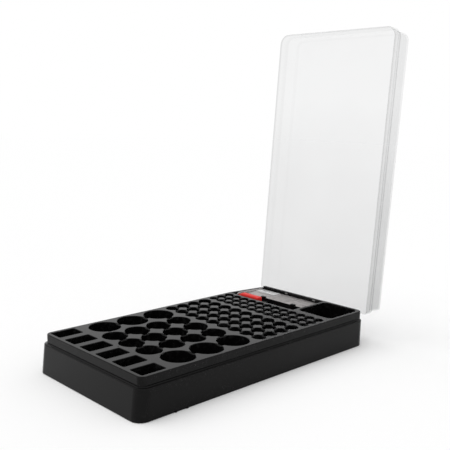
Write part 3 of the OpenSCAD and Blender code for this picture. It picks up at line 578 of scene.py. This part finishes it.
# Tray
def hollows(s, slope_y):
    """All hollows of the deck. Returns their loops in the deck, and their outlines and floors below it."""
    loops, lower = [], []
    bores = [m for m in frame["record"]["mounts"] if m["kind"] == "bore"]
    wells = [(m["pos_m"][0] / MM, m["pos_m"][1] / MM, m["dims"]["r_mm"]) for m in bores]
    for x, y, r in wells:
        n = WELL_STEPS + MORE_STEPS * round(r / 2)
        widths = web_edges(x, y, r, n, wells)
        loops.append(sunk(s, circle(x, y, r, n), BEVEL, WELL_FLOOR, WELL_FOOT, widths=widths))
        lower.append((circle(x, y, r + TUBE, n), FLOOR_LOW))
    for i in range(NV_COUNT):
        x0 = (i - (NV_COUNT - 1) / 2) * NV_PITCH - NV_W / 2
        pocket = (x0, x0 + NV_W, NV_Y0, NV_Y1)
        loops.append(sunk(s, rrect(*pocket, POCKET_R), round_edge(POCKET_EDGE), WELL_FLOOR, POCKET_FOOT))
        lower.append((rrect(*grown(pocket), POCKET_OUT_R), FLOOR_LOW))
    loops.append(sunk(s, rrect(*BIN, BIN_R, CORNER), round_edge(BIN_EDGE), BIN_FLOOR, BIN_FOOT))
    lower.append((rrect(*grown(BIN), BIN_OUT_R, CORNER), BIN_FLOOR - FLOOR_T))
    bay = rrect(*BAY, BAY_R, rear=[DIP_X + e for e in BAY_SPLIT], left=slope_y)
    loops.append(sunk(s, bay, bevel_edge(BAY_EDGE), BAY_FLOOR, BAY_FOOT, dip))
    lower.append((rrect(*grown(BAY), BAY_OUT_R), BAY_FLOOR - FLOOR_T))
    for x, y in GATES:
        gate = circle(x, y, GATE_R, GATE_STEPS)
        loops.append(sunk(s, gate, round_edge(GATE_EDGE), TOP - GATE_DEPTH, GATE_FOOT))
    return loops, lower


def sides(s, rim, skirt):
    """Rings of the rim, ledge and skirt, from the edge of the deck down to the foot."""
    rings = []
    for off, deep, lift in round_edge(RIM_EDGE):
        pts, dirs = rim(-off)
        rings.append(s.ring(pts, dirs, [TOP - deep - dip(*p) for p in pts], 1, lift, 1.0))
    p_rim, dirs = rim(0)
    p_skirt, _ = skirt(LEDGE)(0)
    width = [math.dist(a, b) for a, b in zip(p_rim, p_skirt)]
    tilt = [min(LEDGE_TILT, w / LEDGE_WIDE) for w in width]
    fillet = [min(LEDGE_FILLET, FILLET_SHARE * w) for w in width]

    def across(share, zs, lift, wear_and_shade):
        """A ring on the ledge, each point a share of the way from the rim to the skirt."""
        ways = zip(p_rim, p_skirt, share)
        pts = [(a[0] + (b[0] - a[0]) * t, a[1] + (b[1] - a[1]) * t) for a, b, t in ways]
        rings.append(s.ring(pts, dirs, zs, 1, [lift * k for k in tilt], wear_and_shade))

    for lift in FOOT_TURN:
        a = math.radians(lift)
        share = [f * (1 - math.cos(a)) / w if w > NO_LEDGE else 0 for f, w in zip(fillet, width)]
        across(share, [LEDGE + f * (1 - math.sin(a)) for f in fillet], lift, 0.0)
    for lift in EDGE_TURN:
        a = math.radians(lift)
        share = [1 - f * (1 - math.cos(a)) / w if w > NO_LEDGE else 1 for f, w in zip(fillet, width)]
        across(share, [LEDGE - f * (1 - math.sin(a)) for f in fillet], lift, LEDGE_WEAR)
    for z, off, lift in SKIRT_RINGS:
        pts, dirs_low = skirt(z)(off)
        rings.append(s.ring(pts, dirs_low, z, 1, lift, 1.0 if z < FOOT_WEAR_Z else 0.0))
    return rings


def tray():
    s = Shell()
    slope_y = [DIP_Y + SLOPE_STEP * i for i in range(SLOPE_COUNT)]
    rim = rrect(-RIM_X, RIM_X, -RIM_Y, RIM_Y, RIM_R, CORNER, left=slope_y)

    def skirt(z):
        front = LEDGE_Y + FLARE * (1 - min(z, LEDGE) / LEDGE)
        return rrect(-SKIRT_X, SKIRT_X, -front, RIM_Y, SKIRT_R, CORNER, left=slope_y)

    loops, lower = hollows(s, slope_y)
    rings = sides(s, rim, skirt)
    deck_loop = rings[0]

    # Underneath: foot, inside of the skirt, ledge and deck
    inner = skirt(0)(-SKIRT_WALL)
    upper = skirt(LEDGE)(-SKIRT_WALL)
    low, ceiling = LEDGE - SKIRT_WALL, TOP - DECK_T
    rings.append(s.ring(*inner, 0, -1, -90))
    s.chain(rings, 1)
    s.join(s.ring(*inner, 0, -1, 0), s.ring(*upper, low, -1, 0), 1)
    deck_low = rrect(-IN_X, IN_X, -IN_Y, IN_Y, IN_R, CORNER, left=slope_y)(0)
    s.join(s.ring(*upper, low, -1, -90), s.ring(*deck_low, low, -1, -90), 1)
    s.join(s.ring(*deck_low, low, -1, 0), s.ring(*deck_low, ceiling, -1, 0), 1)
    s.plane([deck_loop, *loops], True)
    under = [s.ring(*deck_low, ceiling, -1, -90)]
    for outline, z in lower:
        boss(s, outline, ceiling, z)
        under.append(s.ring(*outline(0), ceiling, 1, -90))
    s.plane(under, False)
    stood_for = ["tray_shell", "deck_bars", "nine_volt_bank", "d_bank", "c_bank", "aa_bank", "aaa_bank",
                 "parts_bin", "tester_bay"]
    s.build("tray_moulding", black, "tray", stood_for)


# Lid, built closed and turned open
def lid():
    s = Shell()
    marks = list(LID_MARKS)
    for x in (-HINGE_X, HINGE_X):
        for e in (-NOTCH_HALF, NOTCH_HALF):
            marks += [x + e - NOTCH_SLANT, x + e + NOTCH_SLANT]

    def outline(inset):
        front, back = max(LID_R - inset, LID_LEAST_R), max(LID_REAR_R - inset, LID_LEAST_REAR_R)
        box = (-LID_X + inset, LID_X - inset, LID_Y0 + inset, LID_Y1 - inset)
        return rrect(*box, front, CORNER, rear=marks, rear_r=back)(0)

    def low(pts):
        """Heights of the rim's edge: raised along the rear, and higher in the hinge notches."""
        zs = []
        for x, y in pts:
            z = LID_Z
            if y > LID_Y1 - LID_REAR_R and abs(x) < LID_X - LID_WALL:
                z += REAR_RELIEF
            if y > LID_Y1 - LID_REAR_R and any(abs(x - h) < NOTCH_HALF for h in (-HINGE_X, HINGE_X)):
                z = NOTCH_TOP
            zs.append(z)
        return zs

    def ring(inset, z, side, lift, grey=0.0):
        pts, dirs = outline(inset)
        return s.ring(pts, dirs, z, side, lift, grey)

    def edge(inset, above, side, lift, grey):
        """A ring that follows the rim's lower edge."""
        pts, dirs = outline(inset)
        zs = [min(h + above, LID_SHOULDER - RIM_ROOM) for h in low(pts)]
        return s.ring(pts, dirs, zs, side, lift, grey)

    # Outside, from the panel down to the rim, and up inside the rim
    out = []
    # The panel's bend is greyed as painted shade.
    for off, deep, lift in round_edge(LID_BEND):
        out.append(ring(LID_STEP + off, LID_TOP - deep, 1, lift, BEND_SHADE if out else 0.0))
    out.append(ring(LID_STEP, LID_TOP - LID_BEND - LID_FADE, 1, 0))
    gate = []
    for r, z, lift in GATE_RINGS:
        pts, dirs = circle(0, 0, r, LID_GATE_STEPS)(0)
        gate.append(s.ring(pts, dirs, LID_TOP + z, 1, lift))
    s.plane([out[0], gate[0]], True)
    s.chain(gate[::-1], 1)
    s.cap(gate[-1], True)
    out += [ring(inset, LID_SHOULDER + z, 1, lift, grey) for inset, z, lift, grey in SHOULDER_RINGS]
    out += [edge(*row) for row in LID_RIM_RINGS]

    # Inside, under the shoulder and up to the panel
    inner, under, panel = LID_STEP + LID_WALL, LID_SHOULDER - LID_WALL, LID_TOP - LID_PANEL
    out.append(ring(LID_WALL, under - INNER_SOFT, -1, 0))
    out.append(ring(LID_WALL + INNER_SOFT, under, -1, -90))
    out.append(ring(inner - INNER_SOFT, under, -1, -90))
    out.append(ring(inner, under + INNER_SOFT, -1, 0))
    for lift in FOOT_TURN:
        a = math.radians(lift)
        inset, z = inner + LID_BEND_IN * (1 - math.cos(a)), panel - LID_BEND_IN * (1 - math.sin(a))
        out.append(ring(inset, z, -1, -lift))
    s.chain(out, 1)
    s.cap(out[-1], False)
    axis = Matrix.Translation((0, HINGE_Y * MM, HINGE_Z * MM))
    turn = axis @ Matrix.Rotation(math.radians(-LID_OPEN), 4, "X") @ axis.inverted()
    s.build("lid_moulding", lid_clear, "lid_body", ["lid"], turn)


# Tester and hinge: copies of solids with their edges rounded
def solid_copy(node_name):
    bm = bmesh.new()
    bm.from_mesh(frame["nodes"][node_name].data)
    bmesh.ops.remove_doubles(bm, verts=bm.verts, dist=1e-6)
    bmesh.ops.dissolve_limit(bm, angle_limit=math.radians(FLAT), verts=bm.verts, edges=bm.edges)
    return bm


def finished(bm, name, mat, body, replaced=()):
    mesh = bpy.data.meshes.new(name)
    bm.to_mesh(mesh)
    bm.free()
    for p in mesh.polygons:
        p.use_smooth = True
    obj = piece(name, mesh, mat, body, replaced)
    with bpy.context.temp_override(object=obj, active_object=obj, selected_objects=[obj]):
        bpy.ops.object.shade_smooth_by_angle(angle=math.radians(SMOOTH))


def bevel(bm, width, segments):
    least = math.radians(SHARP)
    sharp = [e for e in bm.edges if len(e.link_faces) == 2 and e.calc_face_angle(0) > least]
    bmesh.ops.bevel(bm, geom=sharp, offset=width * MM, segments=segments, profile=0.5, affect="EDGES",
                    clamp_overlap=True)


def rounded(node_name, name, mat, body, width, segments=2):
    """A copy of a solid with its sharp edges rounded, standing for that solid."""
    bm = solid_copy(node_name)
    bevel(bm, width, segments)
    finished(bm, name, mat, body, [node_name])


def block(bm, x, y, z, width=0.0):
    """Adds a box between pairs of limits, its edges rounded by a width."""
    new = bmesh.ops.create_cube(bm, size=1)["verts"]
    for v in new:
        v.co = Vector([(a[0] + a[1]) / 2 + (a[1] - a[0]) * c for a, c in zip((x, y, z), v.co)]) * MM
    if width:
        edges = list(dict.fromkeys(e for v in new for e in v.link_edges))
        bmesh.ops.bevel(bm, geom=edges, offset=width * MM, segments=3, profile=0.5, affect="EDGES")


def jaw():
    """Red jaw with a ramp at the left end of its thumb bar and three grip ribs across it."""
    bm = solid_copy("slide_jaw")
    cut = [*bm.verts, *bm.edges, *bm.faces]
    ramp_foot = (0, 0, (JAW_TOP - JAW_RAMP[1]) * MM)
    bmesh.ops.bisect_plane(bm, geom=cut, plane_co=ramp_foot, plane_no=(0, 0, 1))
    for v in bm.verts:
        if v.co.z > (JAW_TOP - NEAR) * MM and v.co.x < (JAW_X[0] + NEAR) * MM:
            v.co.x += JAW_RAMP[0] * MM
    bevel(bm, JAW_EDGE, 4)
    rib_y = (JAW_Y[0] + RIB_INSET, JAW_Y[1] - RIB_INSET)
    rib_z = (JAW_TOP - RIB_SUNK, JAW_TOP + RIB_RISE)
    for i in (-1, 0, 1):
        x = sum(JAW_X) / 2 + RIB_PITCH * i
        block(bm, (x - RIB_HALF, x + RIB_HALF), rib_y, rib_z, RIB_EDGE)
    finished(bm, "tester_jaw", red, "jaw", ["slide_jaw"])


def end_grip():
    """Raised silver edge at the tester's left end, by which it is lifted through the dip in the rim."""
    bm = bmesh.new()
    rows = []
    foot_z, start_z = FACE_Z - GRIP_SUNK, FACE_Z + GRIP_SUNK
    for y in [GRIP_Y[0] + (GRIP_Y[1] - GRIP_Y[0]) * i / GRIP_STEPS for i in range(GRIP_STEPS + 1)]:
        top = TOP - dip(GRIP_X[0], y) - GRIP_GAP
        top = start_z + (top - start_z) * min(1.0, (y - GRIP_Y[0]) / GRIP_RAMP)
        foot = GRIP_X[1] if y < CHANNEL_REAR else GRIP_X[2]
        section = ((GRIP_X[0], foot_z), (GRIP_X[0], top), (GRIP_X[0] + GRIP_TOP_W, top), (foot, foot_z))
        rows.append([bm.verts.new((x * MM, y * MM, z * MM)) for x, z in section])
    for a, b in zip(rows, rows[1:]):
        for i in range(4):
            j = (i + 1) % 4
            bm.faces.new((a[i], a[j], b[j], b[i]))
    bm.faces.new(rows[0][::-1])
    bm.faces.new(rows[-1])
    bmesh.ops.recalc_face_normals(bm, faces=bm.faces)
    finished(bm, "tester_end_grip", silver, "tester")


def catches():
    """Two catches on the bay's rear wall, coloured pale as a painted highlight."""
    bm = bmesh.new()
    y = (BAY[3] - CATCH_OUT, BAY[3] + CATCH_IN)
    for x in CATCHES:
        block(bm, (x - CATCH_HALF, x + CATCH_HALF), y, CATCH_Z, CATCH_EDGE)
    finished(bm, "tester_catches", catch_highlight, "tray")


def foot_lugs():
    """Two small moulding lugs at the foot of the right side."""
    bm = bmesh.new()
    x = (SKIRT_X - LUG_IN, SKIRT_X + LUG_OUT)
    for y in LUGS:
        block(bm, x, (y - LUG_HALF, y + LUG_HALF), LUG_Z, LUG_EDGE)
    finished(bm, "tray_foot_lugs", black, "tray")


def print_marks():
    """Cell outlines with plus and minus signs, printed on the tester's face."""
    bm = bmesh.new()
    z = (FACE_Z - PRINT_HALF, FACE_Z + PRINT_HALF)
    for x0, y0, length, width in MARKS:
        x1, y1, mid = x0 + length, y0 + width, y0 + width / 2
        between = (y0 + LINE, y1 - LINE)
        stroke = (mid - LINE / 2, mid + LINE / 2)
        block(bm, (x0, x1), (y0, y0 + LINE), z)
        block(bm, (x0, x1), (y1 - LINE, y1), z)
        block(bm, (x0, x0 + LINE), between, z)
        block(bm, (x1 - LINE, x1), between, z)
        block(bm, (x1, x1 + POLE), (mid - width / 6, mid + width / 6), z)
        minus, plus = x0 + SIGN_IN, x1 - SIGN_IN
        for x in (minus, plus):
            block(bm, (x - SIGN_HALF, x + SIGN_HALF), stroke, z)
        for y in ((mid - SIGN_HALF, stroke[0]), (stroke[1], mid + SIGN_HALF)):
            block(bm, (plus - LINE / 2, plus + LINE / 2), y, z)
    finished(bm, "tester_print", ink, "tester")


tray()
lid()
rounded("tester_back", "tester_bottom_shell", black_case, "tester", width=0.5)
rounded("tester_body", "tester_top_body", black_case, "tester", width=0.3)
rounded("face_plate", "tester_face", silver, "tester", width=0.15)
rounded("meter_window", "tester_window", window_clear, "tester", width=0.4, segments=3)
rounded("contact_block", "jaw_contact_block", black_case, "jaw", width=0.6, segments=3)
rounded("hinge_ears", "tray_hinge_ears", black, "tray", width=0.4)
jaw()
catches()
foot_lugs()
end_grip()
print_marks()

# Solids that show as they are
for names, mat in (
    (("hinge_pins",), black),
    (("lid_clips",), lid_clear),
    (("dial_plate",), dial),
    (("meter_yoke", "pivot_staff", "case_screws"), steel),
    (("jaw_contact", "fixed_contact", "nine_volt_studs"), steel),
    (("meter_bridge", "contact_rail"), brass),
    (("moving_coil",), copper),
    (("hairspring",), bronze),
    (("meter_magnet",), magnet),
    (("load_resistors",), resistor),
    (("needle",), needle_paint),
):
    for name in names:
        data = frame["nodes"][name].data
        data.materials.clear()
        data.materials.append(mat)


# Stage, light and camera
def by_ray(nodes, links, other, background, out):
    """Shows the background shader to the rays that see the background, and the other shader to the rest."""
    path = nodes.new("ShaderNodeLightPath")
    share = path.outputs[BACKGROUND_RAYS[0]]
    for ray in BACKGROUND_RAYS[1:]:
        share = sums(nodes, links, "MAXIMUM", share, path.outputs[ray])
    mix = nodes.new("ShaderNodeMixShader")
    links.new(share, mix.inputs["Fac"])
    links.new(other.outputs[0], mix.inputs[1])
    links.new(background.outputs[0], mix.inputs[2])
    links.new(mix.outputs[0], out.inputs["Surface"])


def world_light(scene):
    """Plain even light. Seen directly, mirrored or through the lid, the background is white."""
    world = bpy.data.worlds.new("studio")
    scene.world = world
    world.use_nodes = True
    nodes, links = world.node_tree.nodes, world.node_tree.links
    nodes.clear()
    out = nodes.new("ShaderNodeOutputWorld")
    light = node(nodes, "ShaderNodeBackground", Color=(1, 1, 1, 1), Strength=WORLD_STRENGTH)
    white = node(nodes, "ShaderNodeBackground", Color=(1, 1, 1, 1), Strength=1.0)
    by_ray(nodes, links, light, white, out)


def floor():
    """Pale floor that shows white apart from the shadow, and throws little light up at the object."""
    bpy.ops.mesh.primitive_plane_add(size=FLOOR_SIZE, location=(0, 0, FLOOR_Z))
    obj = bpy.context.object
    obj.name = "floor"
    m = bpy.data.materials.new("pale_floor")
    m.use_nodes = True
    nodes, links = m.node_tree.nodes, m.node_tree.links
    nodes.clear()
    out = nodes.new("ShaderNodeOutputMaterial")
    pale = node(nodes, "ShaderNodeBsdfDiffuse", Color=(FLOOR_GREY, FLOOR_GREY, FLOOR_GREY, 1))
    glow = node(nodes, "ShaderNodeEmission", Color=(1, 1, 1, 1), Strength=FLOOR_GLOW)
    shown = nodes.new("ShaderNodeAddShader")
    links.new(pale.outputs[0], shown.inputs[0])
    links.new(glow.outputs[0], shown.inputs[1])
    dim = node(nodes, "ShaderNodeBsdfDiffuse", Color=(FLOOR_DIM, FLOOR_DIM, FLOOR_DIM, 1))
    by_ray(nodes, links, dim, shown, out)
    obj.data.materials.append(m)


def soft_sky(scene):
    """Wide lamp from above that gives the soft shadow and shows in no reflection."""
    sun = bpy.data.lights.new("soft_sky", "SUN")
    sun.energy = SKY_STRENGTH
    sun.angle = math.radians(SKY_WIDTH)
    lamp = bpy.data.objects.new("soft_sky", sun)
    lamp.visible_glossy = False
    lamp.rotation_euler = (math.radians(SKY_TILT[0]), math.radians(SKY_TILT[1]), 0)
    scene.collection.objects.link(lamp)


def camera(scene):
    """The photograph's viewpoint."""
    turn, pitch, roll = (math.radians(v) for v in VIEW_ANGLES)
    flat = Vector((-math.sin(turn), math.cos(turn), 0)) * math.cos(pitch)
    forward = flat - Vector((0, 0, math.sin(pitch)))
    across = Vector((math.cos(turn), math.sin(turn), 0))
    rise = across.cross(forward)
    right = across * math.cos(roll) + rise * math.sin(roll)
    up = rise * math.cos(roll) - across * math.sin(roll)
    cam = bpy.data.cameras.new("camera")
    cam.sensor_width, cam.lens, cam.shift_y = SENSOR, LENS, SHIFT_Y
    cam.clip_start, cam.clip_end = 0.01, 50
    obj = bpy.data.objects.new("camera", cam)
    place = Matrix((right, up, -forward)).transposed().to_4x4()
    x, y, z = VIEW_PLACE
    place.translation = Vector((x, y, z + TOP)) * MM
    obj.matrix_world = place
    scene.collection.objects.link(obj)
    scene.camera = obj


stage = bpy.context.scene
stage.view_settings.view_transform = "Standard"
world_light(stage)
floor()
soft_sky(stage)
camera(stage)
